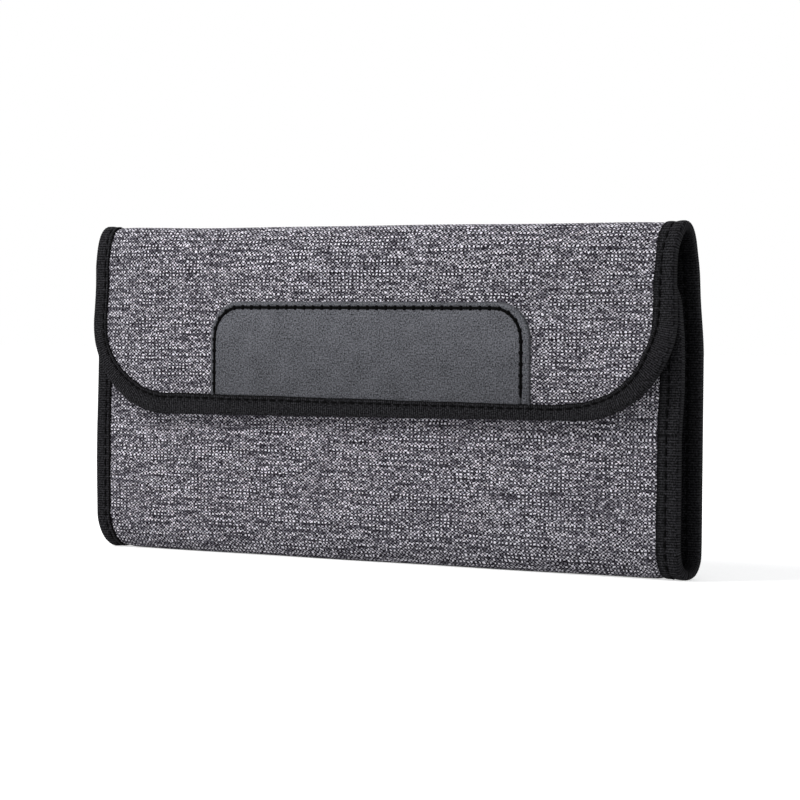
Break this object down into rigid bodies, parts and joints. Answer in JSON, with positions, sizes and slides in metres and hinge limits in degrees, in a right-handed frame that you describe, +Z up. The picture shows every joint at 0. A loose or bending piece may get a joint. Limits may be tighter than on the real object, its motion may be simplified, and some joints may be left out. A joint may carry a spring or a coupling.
{
  "type": "lens filter case",
  "caption": "Folded cloth case for round lens filters, with a front flap, a leather patch, taped edges and pockets inside its two stiff panels.",
  "frame": {"origin": "under the middle of the case, at the centre of its bounding box, on the surface that its bottom fold stands on", "axes": "+Z up from the bottom fold to the top fold, +X along the folds to the right as seen from the front, +Y to the back; the flap and the leather patch face -Y"},
  "size_m": [0.242, 0.0194, 0.116],
  "materials": {
    "cover": "grey melange weave, light and dark yarns",
    "board": "plain stiffener sheet",
    "lining": "smooth black lining cloth",
    "tape": "black ribbed edge tape",
    "patch": "smooth grey-black leather",
    "pocket": "soft brushed black cloth",
    "closure": "black hook-and-loop tape"
  },
  "bodies": {
    "back": {"back_cover": "cover", "back_board": "board", "back_lining": "lining", "back_binding_left": "tape", "back_binding_right": "tape", "back_pocket_left": "pocket", "back_pocket_right": "pocket", "back_pocket_left_band": "tape", "back_pocket_right_band": "tape", "top_fold_cover": "cover", "top_fold_lining": "lining", "top_fold_binding_left": "tape", "top_fold_binding_right": "tape", "bottom_fold_cover": "cover", "bottom_fold_lining": "lining", "bottom_fold_binding_left": "tape", "bottom_fold_binding_right": "tape"},
    "flap": {"flap_cover": "cover", "flap_board": "board", "flap_lining": "lining", "flap_binding": "tape", "leather_patch": "patch", "hook_tape": "closure"},
    "front": {"front_cover": "cover", "front_board": "board", "front_lining": "lining", "front_binding": "tape", "loop_tape": "closure", "front_pocket_left": "pocket", "front_pocket_right": "pocket", "front_pocket_left_band": "tape", "front_pocket_right_band": "tape"}
  },
  "joints": [
    {"name": "flap_hinge", "type": "hinge", "parent": "back", "child": "flap", "pos_m": [0, 0.00015, 0.11425], "axis": [-1, 0, 0], "range_deg": [0, 175], "deforming": ["top_fold_cover", "top_fold_lining", "top_fold_binding_left", "top_fold_binding_right"]},
    {"name": "front_hinge", "type": "hinge", "parent": "back", "child": "front", "pos_m": [0, -0.00165, 0.00395], "axis": [1, 0, 0], "range_deg": [0, 26.25], "deforming": ["bottom_fold_cover", "bottom_fold_lining", "bottom_fold_binding_left", "bottom_fold_binding_right"]}
  ],
  "couplings": [
    {"joint": "front_hinge", "follows": "flap_hinge", "ratio": 0.15}
  ]
}
